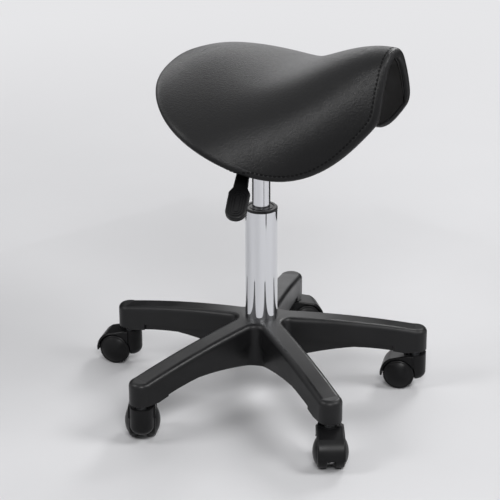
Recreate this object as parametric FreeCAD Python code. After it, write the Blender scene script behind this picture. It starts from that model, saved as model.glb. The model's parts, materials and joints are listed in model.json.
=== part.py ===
import FreeCAD, Part

import math
import os

# Rolling saddle stool on a five-star base, lengths in millimetres, angles in degrees.
# Origin: on the floor, on the axis of the column. +Z is up, the seat's front looks along -Y,
# and the sitter's right hand, with the height lever, is on the -X side.

# Star base
arm_count = 5
first_arm_angle = 15.0
stem_circle_radius = 244.0
arm_width = 37.0
arm_edge_radius = 8.0
arm_corner_radius = 14.0
arm_wall = 4.0
rib_thickness = 3.0
arm_cells = 5
cap_depth_at_hub = 30.0
keel_inset = 3.0
hub_radius = 38.0
hub_top = 136.0
hub_bottom = 65.0
boss_top = 102.0
arm_middle_radius = 130.0
arm_middle_top = 123.5
arm_arch_radius = 145.0
arm_arch_height = 79.0
arm_arch_fullness = 0.72
arm_shoulder_height = 72.0
hub_web_radius = 30.0

# Gas lift column
tube_diameter = 50.0
tube_wall = 2.0
tube_foot_wall = 3.4
tube_top = 313.0
tube_below_hub = 5.0
tube_lip = 2.0
taper_half_angle = 1.4378
inner_tube_diameter = 28.0
inner_tube_wall = 1.6
bush_length = 77.0
collar_height = 4.0
collar_edge = 1.0
collar_groove_inset = 3.5
collar_groove_width = 2.5
running_gap = 0.05
foot_plate_thickness = 5.0
race_thickness = 1.5
race_radius = 13.0
ball_diameter = 4.0
ball_count = 8
ball_circle_radius = 9.0
cage_thickness = 1.6
rod_diameter = 10.0
rod_neck_diameter = 8.0
clip_thickness = 1.1
clip_radius = 8.0
clip_washer_thickness = 1.5
bump_stop_height = 16.0
bump_stop_radius = 11.5
bump_stop_waist = 2.0
travel_down = 125.0
travel_up = 15.0
guide_length = 18.0
seal_height = 6.0
piston_height = 14.0
valve_length = 34.0
release_pin_diameter = 6.0
release_pin_stands = 5.7
release_pin_length = 30.0

# Height mechanism under the seat
socket_bottom = 450.0
socket_height = 30.0
socket_wall = 4.0
plate_top = 500.0
plate_thickness = 3.0
plate_width = 150.0
plate_length = 170.0
plate_corner = 14.0
housing_width = 84.0
housing_length = 92.0
housing_wall = 2.5
housing_floor_above_socket = 6.0
bolt_spacing_x = 110.0
bolt_spacing_y = 124.0
bolt_diameter = 6.0
bolt_head_radius = 5.2
bolt_head_height = 4.0
washer_radius = 7.0
washer_thickness = 1.4
nut_flange_radius = 8.5
nut_flange_thickness = 1.4
nut_barrel_wall = 1.1
nut_barrel_length = 9.0
hole_gap = 0.3

# Height lever
lever_forward_angle = 17.0
lever_pivot_reach = 24.0
lever_bar_width = 11.0
lever_bar_thickness = 4.0
lever_over_pin = 7.0
lever_bend_reach = 46.0
lever_bend_radius = 20.0
lever_droop = 31.0
lever_tip_reach = 226.0
lever_pin_diameter = 6.0
lever_eye_wall = 2.5
lever_side_gap = 1.4
lug_thickness = 3.0
lug_length = 13.0
paddle_length = 112.0
paddle_thickness = 9.0
paddle_head_length = 48.0
paddle_head_width = 31.0
paddle_neck_width = 16.0
paddle_neck_foot_width = 21.0
paddle_shoulder_length = 9.0
paddle_tongue = 70.0
paddle_rib_depth = 0.9
paddle_rib_width = 1.5
paddle_rib_pitch = 3.6
paddle_rib_count = 3

# Saddle seat: five stations from the rear edge to the front edge
seat_rear = 142.0
seat_front = 216.0
crown_rises = (38.0, 54.0, 47.0, 78.0, 96.0)
crown_slopes = (4.0, 11.0, 10.5, 35.0, 58.0)
rim_slopes = (5.5, 31.0, 57.0, 92.0, 80.0)
crown_share = 0.35
widest_half_girth = 236.0
widest_at = 85.0
front_half_girth = 122.0
rear_fullness = 2.8
rear_roundness = 1.7
front_fullness = 2.65
front_roundness = 0.86
rear_flat = 2.0
rear_station_angles = (20, 30, 42, 55, 70)
front_station_count = 8
least_station_step = 6.0
cover_thickness = 1.2
seat_gap = 0.4
foam_middle = 22.0
foam_edge = 4.0
shell_thickness = 7.0
band_width = 13.0
lip_width = 7.0
block_trim_inset = 26.0
under_cover_thickness = 2.0
block_width = 130.0
block_length = 150.0
block_corner = 18.0

# Casters: one heading per arm, the way each one trails on the floor
caster_headings = (310.0, 102.0, 27.0, 209.0, 105.0)
wheel_diameter = 50.0
wheel_width = 21.5
wheel_gap = 11.0
wheel_edge_radius = 4.0
wheel_dome = 6.5
wheel_tread_wall = 5.5
wheel_web = 4.0
wheel_hub_radius = 8.0
caster_trail = 23.0
web_side_gap = 0.4
fender_gap = 1.5
fender_wall = 3.2
fender_width = 42.0
fender_edge_radius = 3.0
fender_crest_angle = 62.0
fender_end_below_axle = 3.0
stem_block_radius = 18.0
stem_block_top = 58.5
stem_block_bottom = 15.0
stem_block_corner = 12.0
stem_cup_depth = 2.0
stem_cup_rim = 2.5
axle_diameter = 8.0
axle_cover = 5.0
stem_diameter = 11.0
stem_length = 22.0
stem_foot_diameter = 8.0
stem_foot_length = 22.0
stem_flange_radius = 8.5
stem_rest_gap = 0.1
grip_ring_thickness = 1.2
grip_ring_height = 3.0
grip_ring_below_top = 6.0
socket_gap = 0.05

# Values that follow from the sizes above
wheel_radius = wheel_diameter / 2
arm_half = arm_width / 2
tube_radius = tube_diameter / 2
tube_bottom = hub_bottom - tube_below_hub
tube_bore = tube_radius - tube_wall
taper = math.tan(math.radians(taper_half_angle))
tube_foot_radius = tube_radius - (hub_top - tube_bottom) * taper
tube_foot_bore = tube_foot_radius - tube_foot_wall
collar_top = tube_top + collar_height
bush_bottom = tube_top - bush_length
inner_radius = inner_tube_diameter / 2
inner_bore = inner_radius - inner_tube_wall
socket_top = socket_bottom + socket_height
cylinder_top_radius = inner_radius - socket_height * taper
cylinder_cap_bore = cylinder_top_radius - inner_tube_wall
rod_radius = rod_diameter / 2
neck_radius = rod_neck_diameter / 2
plate_foot = tube_bottom + tube_lip
bearing_foot = plate_foot + foot_plate_thickness
balls_foot = bearing_foot + race_thickness + running_gap
upper_race_foot = balls_foot + ball_diameter + running_gap
rod_shoulder = upper_race_foot + race_thickness
bump_stop_top = rod_shoulder + bump_stop_height
cylinder_bottom = bump_stop_top + seat_gap + travel_down
guide_foot = cylinder_bottom + inner_tube_wall
guide_top = guide_foot + guide_length
seal_top = guide_top + seal_height
piston_foot = seal_top + travel_up + seat_gap
piston_top = piston_foot + piston_height
pin_radius = release_pin_diameter / 2
pin_top = socket_top + release_pin_stands
pin_foot = pin_top - release_pin_length
plate_foot_height = plate_top - plate_thickness
housing_floor = socket_bottom + housing_floor_above_socket
lever_height = pin_top + hole_gap
lever_turn = 180.0 + lever_forward_angle
bolt_radius = bolt_diameter / 2
seat_length = seat_rear + seat_front
crown_heights = tuple(plate_top + rise for rise in crown_rises)
stem_radius = stem_diameter / 2
flange_top = hub_bottom - stem_rest_gap
cup_floor = stem_block_top - stem_cup_depth


def point(x, y, z):
    return FreeCAD.Vector(x, y, z)


def cylinder(radius, foot, top, x=0.0, y=0.0):
    return Part.makeCylinder(radius, top - foot, point(x, y, foot))


def ring(outer, inner, foot, top, x=0.0, y=0.0):
    return cylinder(outer, foot, top, x, y).cut(cylinder(inner, foot, top, x, y))


def box(x0, x1, y0, y1, z0, z1):
    return Part.makeBox(x1 - x0, y1 - y0, z1 - z0, point(x0, y0, z0))


def line(start, end):
    return Part.LineSegment(start, end).toShape()


def arc(start, middle, end):
    return Part.Arc(start, middle, end).toShape()


def polygon(points):
    return [line(a, b) for a, b in zip(points, points[1:] + points[:1])]


def prism(edges, direction):
    solid = Part.Face(Part.Wire(edges)).extrude(direction)
    return solid if solid.Volume > 0 else solid.reversed()


def revolved(points):
    """Solid of revolution about Z from a closed outline of (radius, height) pairs."""
    outline = Part.Wire(polygon([point(r, 0, z) for r, z in points]))
    return Part.Face(outline).revolve(point(0, 0, 0), point(0, 0, 1), 360)


def turned(shape, angle, x=0.0, y=0.0):
    copy = shape.copy()
    copy.rotate(point(0, 0, 0), point(0, 0, 1), angle)
    copy.translate(point(x, y, 0))
    return copy


def rounded_block(width, length, corner, foot, top):
    """Upright block with rounded corners, centred on the column axis."""
    block = box(-width / 2, width / 2, -length / 2, length / 2, foot, top)
    uprights = [e for e in block.Edges if abs(e.Vertexes[0].Z - e.Vertexes[-1].Z) > (top - foot) / 2]
    return block.makeFillet(corner, uprights)


def save(name, *solids):
    shape = solids[0] if len(solids) == 1 else Part.makeCompound(list(solids))
    shape.exportStep("parts/" + name + ".step")


# Star base


def arm_angle(index):
    return first_arm_angle + index * 360 / arm_count


arm_reach = stem_circle_radius + arm_half
arm_top_curve = Part.Arc(
    point(hub_web_radius, 0, hub_top),
    point(arm_middle_radius, 0, arm_middle_top),
    point(stem_circle_radius, 0, boss_top),
)


def arm_top(reach):
    """Height of the arm's top line, one arc from the hub out to the boss."""
    return arm_top_curve.value(arm_top_curve.parameter(point(reach, 0, hub_top))).z


def spun(edges):
    return Part.Face(Part.Wire(edges)).revolve(point(0, 0, 0), point(0, 0, 1), 360)


def base_profile():
    """Half section of the base: arched top, boss at the end and the arch of the underside."""
    boss_inner = stem_circle_radius - arm_half
    arch_knee = (arm_arch_radius + boss_inner) / 2 + arm_half / 2
    hub_end = (hub_radius + arm_arch_radius) / 2
    hub_end_height = hub_bottom + (arm_arch_height - hub_bottom) * arm_arch_fullness
    rim = arm_reach + arm_wall
    top_boss = point(stem_circle_radius, 0, boss_top)
    boss_foot = point(boss_inner, 0, hub_bottom)
    arch_top = point(arm_arch_radius, 0, arm_arch_height)
    hub_foot = point(hub_radius, 0, hub_bottom)
    return [
        line(point(0, 0, hub_top), point(hub_web_radius, 0, hub_top)),
        arm_top_curve.toShape(),
        line(top_boss, point(rim, 0, boss_top)),
        line(point(rim, 0, boss_top), point(rim, 0, hub_bottom)),
        line(point(rim, 0, hub_bottom), boss_foot),
        arc(boss_foot, point(arch_knee, 0, arm_shoulder_height), arch_top),
        arc(arch_top, point(hub_end, 0, hub_end_height), hub_foot),
        line(hub_foot, point(0, 0, hub_bottom)),
        line(point(0, 0, hub_bottom), point(0, 0, hub_top)),
    ]


def star_plan(half_width, corner):
    """Upright star: straight arms with round ends, and hollow corners between them."""
    half_step = math.pi / arm_count
    corner_reach = (half_width + corner) / math.sin(half_step)
    straight_start = corner_reach * math.cos(half_step)

    def at(angle, along, across=0.0):
        ahead = point(math.cos(angle), math.sin(angle), 0)
        return ahead * along + point(-ahead.y, ahead.x, 0) * across

    edges = []
    for index in range(arm_count):
        angle = math.radians(arm_angle(index))
        right = at(angle, stem_circle_radius, -half_width)
        left = at(angle, stem_circle_radius, half_width)
        left_root = at(angle, straight_start, half_width)
        next_root = at(angle + 2 * half_step, straight_start, -half_width)
        edges += [
            line(at(angle, straight_start, -half_width), right),
            arc(right, at(angle, stem_circle_radius + half_width), left),
            line(left, left_root),
            arc(left_root, at(angle + half_step, corner_reach - corner), next_root),
        ]
    return prism(edges, point(0, 0, hub_top + arm_wall))


def top_edges(body):
    """Edges where the top of the star meets its upright sides."""
    found = []
    for edge in body.Edges:
        middle = edge.valueAt((edge.FirstParameter + edge.LastParameter) / 2)
        reach = math.hypot(middle.x, middle.y)
        on_crease = any(abs(reach - r) < running_gap for r in (hub_web_radius, stem_circle_radius))
        flat_ends = all(v.Z > boss_top - running_gap for v in edge.Vertexes)
        if flat_ends and middle.z > boss_top - running_gap and not on_crease:
            found.append(edge)
    return found


def arm_pockets():
    """Open cells in the underside of an arm, between its walls, its centre rib and cross ribs."""
    first = hub_radius + arm_wall
    last = stem_circle_radius - arm_half
    pitch = (last - first) / arm_cells
    inner = rib_thickness / 2
    outer = arm_half - keel_inset - arm_wall
    cells = []
    for index in range(arm_cells):
        start = first + index * pitch
        end = start + pitch - rib_thickness
        roof = arm_top(end) - arm_wall
        cells.append(box(start, end, inner, outer, 0, roof))
        cells.append(box(start, end, -outer, -inner, 0, roof))
    return cells


def stem_sockets():
    groove_top = hub_bottom + stem_length - grip_ring_below_top
    hole = cylinder(stem_radius + socket_gap, 0, hub_bottom + stem_length + 1, stem_circle_radius)
    groove = cylinder(
        stem_radius + grip_ring_thickness, groove_top - grip_ring_height, groove_top, stem_circle_radius
    )
    return [hole, groove]


def star_base():
    body = spun(base_profile()).common(star_plan(arm_half, arm_corner_radius))
    body = body.makeFillet(arm_edge_radius, top_edges(body))
    # The lower side walls stand back from the upper ones by the keel inset
    step_end = stem_circle_radius - arm_width
    step = spun(polygon([
        point(0, 0, hub_top - cap_depth_at_hub),
        point(step_end, 0, arm_arch_height),
        point(step_end, 0, 0),
        point(0, 0, 0),
    ]))
    body = body.cut(step.cut(star_plan(arm_half - keel_inset, arm_corner_radius + keel_inset)))
    for index in range(arm_count):
        for hollow in arm_pockets() + stem_sockets():
            body = body.cut(turned(hollow, arm_angle(index)))
    bore = Part.makeCone(
        tube_foot_radius, tube_radius, hub_top - tube_bottom, point(0, 0, tube_bottom)
    )
    return body.cut(bore)


def stem_place(index):
    angle = math.radians(arm_angle(index))
    return stem_circle_radius * math.cos(angle), stem_circle_radius * math.sin(angle)


def grip_rings():
    """Split spring rings that hold the caster stems in the bosses of the base."""
    top = hub_bottom + stem_length - grip_ring_below_top - running_gap
    foot = top - grip_ring_height + 2 * running_gap
    outer = stem_radius + grip_ring_thickness - running_gap
    loop = ring(outer, outer - grip_ring_thickness, foot, top)
    loop = loop.cut(box(0, outer, -grip_ring_thickness, grip_ring_thickness, foot, top))
    return [turned(loop, arm_angle(i), *stem_place(i)) for i in range(arm_count)]


# Gas lift column


def outer_tube():
    foot = Part.makeCone(tube_foot_radius, tube_radius, hub_top - tube_bottom, point(0, 0, tube_bottom))
    tube = foot.fuse(cylinder(tube_radius, hub_top, tube_top)).removeSplitter()
    tube = tube.cut(cylinder(tube_bore, hub_top, tube_top))
    tube = tube.cut(cylinder(tube_foot_bore, plate_foot, hub_top))
    return tube.cut(cylinder(tube_foot_bore - tube_lip, tube_bottom, plate_foot))


def guide_bush():
    collar = revolved([
        (0, tube_top),
        (tube_radius, tube_top),
        (tube_radius, collar_top - collar_edge),
        (tube_radius - collar_edge, collar_top),
        (0, collar_top),
    ])
    bush = cylinder(tube_bore - running_gap, bush_bottom, tube_top).fuse(collar).removeSplitter()
    groove_inner = inner_radius + collar_groove_inset
    groove_outer = groove_inner + collar_groove_width
    groove = ring(groove_outer, groove_inner, collar_top - collar_edge, collar_top)
    return bush.cut(cylinder(inner_radius + running_gap, bush_bottom, collar_top)).cut(groove)


def foot_plate():
    return ring(tube_foot_bore - running_gap, neck_radius + hole_gap, plate_foot, bearing_foot)


def race(foot):
    return ring(race_radius, neck_radius + hole_gap, foot, foot + race_thickness)


def ball_places():
    steps = [2 * math.pi * i / ball_count for i in range(ball_count)]
    return [(ball_circle_radius * math.cos(a), ball_circle_radius * math.sin(a)) for a in steps]


def balls():
    height = balls_foot + ball_diameter / 2
    return [Part.makeSphere(ball_diameter / 2, point(x, y, height)) for x, y in ball_places()]


def ball_cage():
    middle = balls_foot + ball_diameter / 2
    foot = middle - cage_thickness / 2
    cage = ring(race_radius, neck_radius + 4 * hole_gap, foot, foot + cage_thickness)
    for x, y in ball_places():
        cage = cage.cut(cylinder(ball_diameter / 2 + running_gap, foot, foot + cage_thickness, x, y))
    return cage


def clip_top():
    return plate_foot - running_gap - clip_washer_thickness - running_gap


def piston_rod():
    rod_foot = clip_top() - 3 * clip_thickness
    rod = cylinder(neck_radius, rod_foot, rod_shoulder)
    rod = rod.fuse(cylinder(rod_radius, rod_shoulder, piston_foot))
    rod = rod.fuse(cylinder(neck_radius, piston_foot, piston_top)).removeSplitter()
    groove_radius = neck_radius - clip_thickness
    groove = ring(neck_radius + 1, groove_radius, clip_top() - clip_thickness, clip_top())
    return rod.cut(groove)


def retaining_clip():
    groove_radius = neck_radius - clip_thickness
    foot = clip_top() - clip_thickness + running_gap
    top = clip_top() - running_gap
    clip = ring(clip_radius, groove_radius + running_gap, foot, top)
    return clip.cut(box(0, clip_radius, -groove_radius, groove_radius, foot, top))


def clip_washer():
    top = plate_foot - running_gap
    washer_outer = tube_foot_bore - tube_lip - 4 * hole_gap
    return ring(min(washer_outer, race_radius), neck_radius + hole_gap, top - clip_washer_thickness, top)


def bump_stop():
    waist = bump_stop_radius - bump_stop_waist
    middle = (rod_shoulder + bump_stop_top) / 2
    bore = rod_radius + running_gap
    return revolved([
        (bore, rod_shoulder),
        (bump_stop_radius, rod_shoulder),
        (waist, middle),
        (bump_stop_radius, bump_stop_top),
        (bore, bump_stop_top),
    ])


def piston():
    return ring(inner_bore - running_gap, neck_radius + running_gap, piston_foot, piston_top)


def rod_guide():
    return ring(inner_bore - running_gap, rod_radius + running_gap, guide_foot, guide_top)


def rod_seal():
    return ring(inner_bore - running_gap, rod_radius + running_gap, guide_top, seal_top)


def gas_cylinder():
    shell = cylinder(inner_radius, cylinder_bottom, socket_bottom)
    nose = Part.makeCone(inner_radius, cylinder_top_radius, socket_height, point(0, 0, socket_bottom))
    shell = shell.fuse(nose).removeSplitter()
    shell = shell.cut(cylinder(inner_bore, guide_foot, socket_bottom - inner_tube_wall))
    shell = shell.cut(
        cylinder(cylinder_cap_bore, socket_bottom - inner_tube_wall, socket_top - inner_tube_wall)
    )
    shell = shell.cut(cylinder(rod_radius + 2 * hole_gap, cylinder_bottom, guide_foot))
    return shell.cut(cylinder(pin_radius + running_gap, socket_top - inner_tube_wall, socket_top))


def valve_body():
    top = socket_top - inner_tube_wall
    foot = top - valve_length
    step = socket_bottom - inner_tube_wall
    body = cylinder(cylinder_cap_bore - running_gap, foot, top)
    flange = cylinder(inner_bore - running_gap, foot, step)
    bore = cylinder(pin_radius + running_gap, pin_foot - release_pin_stands, top)
    return body.fuse(flange).removeSplitter().cut(bore)


def release_pin():
    return cylinder(pin_radius, pin_foot, pin_top)


# Height mechanism


def taper_socket():
    outer = cylinder(inner_radius + socket_wall, socket_bottom, socket_top)
    bore = Part.makeCone(inner_radius, cylinder_top_radius, socket_height, point(0, 0, socket_bottom))
    return outer.cut(bore)


def lever_pin_length():
    return lever_bar_width + 2 * (lever_side_gap + lug_thickness)


def mechanism_housing():
    """Pressed pan under the plate, with a slot for the lever and two lugs for its pin."""
    pan = rounded_block(housing_width, housing_length, 4 * housing_wall, housing_floor, plate_foot_height)
    hollow = rounded_block(
        housing_width - 2 * housing_wall,
        housing_length - 2 * housing_wall,
        3 * housing_wall,
        housing_floor + housing_wall,
        plate_foot_height,
    )
    pan = pan.cut(hollow)
    pan = pan.cut(cylinder(inner_radius + socket_wall, housing_floor, housing_floor + housing_wall))
    slot_half = lever_bar_width / 2 + 2 * lever_side_gap
    slot_drop = lever_pin_diameter + lever_eye_wall
    slot = box(
        lever_pivot_reach, housing_width, -slot_half, slot_half, lever_height - slot_drop, plate_foot_height
    )
    pan = pan.cut(turned(slot, lever_turn))
    lug_top = lever_height + lever_pin_diameter
    for side in (-1, 1):
        inner = lever_bar_width / 2 + lever_side_gap
        near, far = sorted((side * inner, side * (inner + lug_thickness)))
        lug = box(
            lever_pivot_reach - lug_length / 2,
            lever_pivot_reach + lug_length / 2,
            near,
            far,
            housing_floor + housing_wall,
            lug_top,
        )
        pan = pan.fuse(turned(lug, lever_turn))
    return pan.removeSplitter().cut(turned(lever_cross_pin(lever_pin_diameter / 2), lever_turn))


def lever_cross_pin(radius):
    length = lever_pin_length()
    return Part.makeCylinder(
        radius, length, point(lever_pivot_reach, -length / 2, lever_height), point(0, 1, 0)
    )


def bolt_places():
    half_x = bolt_spacing_x / 2
    half_y = bolt_spacing_y / 2
    return [(x, y) for x in (-half_x, half_x) for y in (-half_y, half_y)]


def mounting_plate():
    plate = rounded_block(plate_width, plate_length, plate_corner, plate_foot_height, plate_top)
    for x, y in bolt_places():
        plate = plate.cut(cylinder(bolt_radius + hole_gap, plate_foot_height, plate_top, x, y))
    return plate


def droop(shape):
    """Tilt a shape down by the lever's droop about the end of its bend."""
    copy = shape.copy()
    copy.rotate(point(0, 0, 0), point(0, 1, 0), lever_droop)
    angle = math.radians(lever_droop)
    copy.translate(point(
        lever_bend_reach + lever_bend_radius * math.sin(angle),
        0,
        lever_height - lever_bend_radius * (1 - math.cos(angle)),
    ))
    return copy


def lever_slope_length():
    """Length of the straight drooping stretch, from the bend to the paddle's tip."""
    angle = math.radians(lever_droop)
    return (lever_tip_reach - lever_bend_reach - lever_bend_radius * math.sin(angle)) / math.cos(angle)


def lever_arm():
    half = lever_bar_width / 2
    thick = lever_bar_thickness
    flat = box(-lever_over_pin, lever_bend_reach, -half, half, lever_height, lever_height + thick)
    angle = math.radians(lever_droop)
    centre_x = lever_bend_reach
    centre_z = lever_height - lever_bend_radius

    def on_bend(radius, share):
        turn = angle * share
        return point(centre_x + radius * math.sin(turn), -half, centre_z + radius * math.cos(turn))

    low, high = lever_bend_radius, lever_bend_radius + thick
    bend = prism(
        [
            arc(on_bend(low, 0), on_bend(low, 0.5), on_bend(low, 1)),
            line(on_bend(low, 1), on_bend(high, 1)),
            arc(on_bend(high, 1), on_bend(high, 0.5), on_bend(high, 0)),
            line(on_bend(high, 0), on_bend(low, 0)),
        ],
        point(0, lever_bar_width, 0),
    )
    tongue_end = lever_slope_length() - paddle_length + paddle_tongue
    slope = droop(box(0, tongue_end, -half, half, 0, thick))
    eye_radius = lever_pin_diameter / 2 + lever_eye_wall
    eye = Part.makeCylinder(
        eye_radius, lever_bar_width, point(lever_pivot_reach, -half, lever_height), point(0, 1, 0)
    )
    bar = flat.fuse([bend, slope, eye]).removeSplitter()
    return bar.cut(lever_cross_pin(lever_pin_diameter / 2 + running_gap))


def paddle_outline():
    """Plan of the paddle: tapered neck, slanted shoulders and a round-ended head."""
    neck = paddle_neck_width / 2
    foot = paddle_neck_foot_width / 2
    head = paddle_head_width / 2
    head_start = paddle_length - paddle_head_length
    shoulder = head_start - paddle_shoulder_length
    end_centre = paddle_length - head
    slant = math.sqrt(0.5) * head
    return [
        line(point(0, neck, 0), point(0, -neck, 0)),
        line(point(0, -neck, 0), point(shoulder, -foot, 0)),
        line(point(shoulder, -foot, 0), point(head_start, -head, 0)),
        line(point(head_start, -head, 0), point(end_centre, -head, 0)),
        arc(
            point(end_centre, -head, 0),
            point(end_centre + slant, -slant, 0),
            point(paddle_length, 0, 0),
        ),
        arc(
            point(paddle_length, 0, 0),
            point(end_centre + slant, slant, 0),
            point(end_centre, head, 0),
        ),
        line(point(end_centre, head, 0), point(head_start, head, 0)),
        line(point(head_start, head, 0), point(shoulder, foot, 0)),
        line(point(shoulder, foot, 0), point(0, neck, 0)),
    ]


def paddle_loop(half):
    """Round-ended block inside the outline of the paddle's head, as deep as its ribs."""
    foot = paddle_thickness - paddle_rib_depth
    start = paddle_length - paddle_head_length + paddle_shoulder_length
    end = paddle_length - paddle_head_width / 2
    block = box(start, end, -half, half, foot, paddle_thickness)
    return block.fuse([cylinder(half, foot, paddle_thickness, x) for x in (start, end)])


def lever_paddle():
    body = prism(paddle_outline(), point(0, 0, paddle_thickness))
    quarter = paddle_thickness / 4
    rims = [e for e in body.Edges if abs(e.CenterOfMass.z - 2 * quarter) > quarter]
    body = body.makeFillet(quarter, rims)
    for index in range(1, paddle_rib_count + 1):
        half = paddle_head_width / 2 - index * paddle_rib_pitch
        body = body.cut(paddle_loop(half).cut(paddle_loop(half - paddle_rib_width)))
    half = lever_bar_width / 2 + running_gap
    low = (paddle_thickness - lever_bar_thickness) / 2
    high = low + lever_bar_thickness
    tongue_end = paddle_tongue + running_gap
    body = body.cut(box(0, tongue_end, -half, half, low - running_gap, high + running_gap))
    body.translate(point(lever_slope_length() - paddle_length, 0, -low))
    return droop(body)


# Saddle seat


def faired(values):
    """Smooth curve through the five station values, from 0 at the rear to 1 at the front."""
    shares = [index / (len(values) - 1) for index in range(len(values))]
    curve = Part.BSplineCurve()
    curve.interpolate(Points=[point(s, v, 0) for s, v in zip(shares, values)], Parameters=shares)
    return lambda share: curve.value(share).y


crown_height_at = faired(crown_heights)
crown_slope_at = faired(crown_slopes)
rim_slope_at = faired(rim_slopes)


def half_girth(ahead):
    """Length over the curve from crown to rim, at a distance ahead of the column axis."""
    if ahead < widest_at:
        share = (widest_at - ahead) / (widest_at + seat_rear)
        return widest_half_girth * (1 - share ** rear_fullness) ** (1 / rear_roundness)
    share = (ahead - widest_at) / (seat_front - widest_at)
    swell = (1 - share ** front_fullness) ** (1 / front_roundness)
    return front_half_girth + (widest_half_girth - front_half_girth) * swell


def run(length, slope_in, slope_out):
    """Sideways and downward run of an arc that turns from one slope to the other."""
    half_turn = (slope_out - slope_in) / 2
    chord = length * (math.sin(half_turn) / half_turn if half_turn else 1)
    mean = (slope_in + slope_out) / 2
    return chord * math.cos(mean), chord * math.sin(mean)


def seat_point(ahead, along, depth):
    """Point of the seat at a length along the section from its crown, at a depth under the skin."""
    share = (ahead + seat_rear) / seat_length
    girth = half_girth(ahead)
    split = crown_share * girth
    crown_slope = math.radians(crown_slope_at(share))
    rim_slope = math.radians(rim_slope_at(share))
    length = abs(along)
    slope = crown_slope * min(length, split) / split
    across, drop = run(min(length, split), 0, slope)
    if length > split:
        slope = crown_slope + (rim_slope - crown_slope) * (length - split) / (girth - split)
        more_across, more_drop = run(length - split, crown_slope, slope)
        across += more_across
        drop += more_drop
    x = math.copysign(across - depth * math.sin(slope), along)
    return point(x, -ahead, crown_height_at(share) - drop - depth * math.cos(slope))


def middle_share(ahead, along):
    """1 over the middle of the seat, fading to 0 at its rim."""
    lengthwise = abs(2 * (ahead + seat_rear) / seat_length - 1)
    sideways = abs(along) / half_girth(ahead)
    return max(0.0, 1 - lengthwise ** 3) * max(0.0, 1 - sideways ** 3)


def depth_at(ahead, along, edge_depth):
    """Depth of a layer that follows the foam's underside, given its depth at the rim."""
    return edge_depth + (foam_middle - foam_edge) * middle_share(ahead, along)


def seat_stations(inset):
    """Places of the sections, from the rear edge to the front edge."""
    rear = [-seat_rear * math.cos(math.radians(angle)) for angle in rear_station_angles]
    front = [seat_front * index / front_station_count for index in range(front_station_count)]
    first = -seat_rear + rear_flat + inset
    last = seat_front - inset
    between = [s for s in rear + front if first + least_station_step < s < last - least_station_step]
    return [first] + between + [last]


def seat_layer(inset, top_depth, under_depth):
    """Solid between two depths, lofted through one section of arcs per station."""
    sections = []
    for ahead in seat_stations(inset):
        reach = half_girth(ahead) - inset
        split = crown_share * half_girth(ahead)
        half_way = (split + reach) / 2
        top = [
            seat_point(ahead, s, top_depth(ahead, s))
            for s in (-reach, -half_way, -split, 0, split, half_way, reach)
        ]
        under = [
            seat_point(ahead, s, under_depth(ahead, s))
            for s in (reach, half_way, split, 0, -split, -half_way, -reach)
        ]
        edges = [arc(*top[0:3]), arc(*top[2:5]), arc(*top[4:7]), line(top[6], under[0])]
        edges += [arc(*under[0:3]), arc(*under[2:5]), arc(*under[4:7]), line(under[6], top[0])]
        sections.append(Part.Wire(edges))
    return Part.makeLoft(sections, True, False)


def even(depth):
    return lambda ahead, along: depth


def follows(edge_depth):
    return lambda ahead, along: depth_at(ahead, along, edge_depth)


foam_top = cover_thickness + seat_gap
foam_under = foam_top + foam_edge
shell_top = foam_under + seat_gap
shell_under = shell_top + shell_thickness
lip_top = shell_under + seat_gap


def seat_skin():
    """Cover drawn over the top and the rim and folded under the shell."""
    outer = seat_layer(0, even(0), follows(lip_top + cover_thickness))
    cavity = seat_layer(cover_thickness, even(cover_thickness), follows(lip_top))
    mouth = seat_layer(lip_width, follows(shell_under), follows(lip_top + 4 * cover_thickness))
    return outer.cut(mouth).cut(cavity)


def panel_zone(inset):
    return seat_layer(inset, even(-cover_thickness), even(cover_thickness + seat_gap / 2))


def seat_foam():
    inset = cover_thickness + seat_gap
    return seat_layer(inset, even(foam_top), follows(foam_under))


def seat_shell():
    inset = cover_thickness + seat_gap
    return seat_layer(inset, follows(shell_top), follows(shell_under))


def under_cover():
    """Moulded cover that closes the underside up to the fold of the leatherette."""
    top = shell_under + 2 * seat_gap
    sheet = seat_layer(lip_width + seat_gap, follows(top), follows(top + under_cover_thickness))
    hole = rounded_block(
        block_width + 2 * seat_gap,
        block_length + 2 * seat_gap,
        block_corner + seat_gap,
        plate_top,
        crown_heights[-1],
    )
    return sheet.cut(hole)


def spacer_block():
    """Wooden block that fills the space between the flat plate and the curved shell."""
    block = rounded_block(block_width, block_length, block_corner, plate_top, min(crown_heights))
    above = seat_layer(block_trim_inset, even(-2 * foam_middle), follows(lip_top))
    block = block.cut(above)
    solids = sorted(block.Solids, key=lambda s: s.CenterOfMass.z)
    return solids[0]


def seat_height(x, ahead, edge_depth):
    """Height of a layer over a place in plan, found by halving the length along its section."""
    low, high = 0.0, half_girth(ahead)
    for _ in range(40):
        middle = (low + high) / 2
        if seat_point(ahead, middle, depth_at(ahead, middle, edge_depth)).x < abs(x):
            low = middle
        else:
            high = middle
    return seat_point(ahead, low, depth_at(ahead, low, edge_depth)).z


def nut_seat(x, y):
    """Height of the flat that the T-nut's flange rests on, just under the shell's top."""
    out = abs(x) + nut_flange_radius
    rim = [seat_height(out, -y + side * nut_flange_radius, shell_top) for side in (-1, 0, 1)]
    return min(rim) - nut_flange_thickness - hole_gap


def t_nut(x, y):
    foot = nut_seat(x, y)
    top = foot + nut_flange_thickness
    barrel = bolt_radius + nut_barrel_wall
    nut = cylinder(nut_flange_radius, foot, top, x, y)
    nut = nut.fuse(cylinder(barrel, top - nut_barrel_length, foot, x, y)).removeSplitter()
    return nut.cut(cylinder(bolt_radius + running_gap, top - nut_barrel_length, top, x, y))


def nut_room(x, y):
    """Space that the T-nut and its bolt need in the wood around them."""
    foot = nut_seat(x, y)
    bore = bolt_radius + nut_barrel_wall + running_gap
    room = cylinder(bore, plate_top, foot, x, y)
    return room.fuse(cylinder(nut_flange_radius + hole_gap, foot, foot + foam_middle / 2, x, y))


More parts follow.
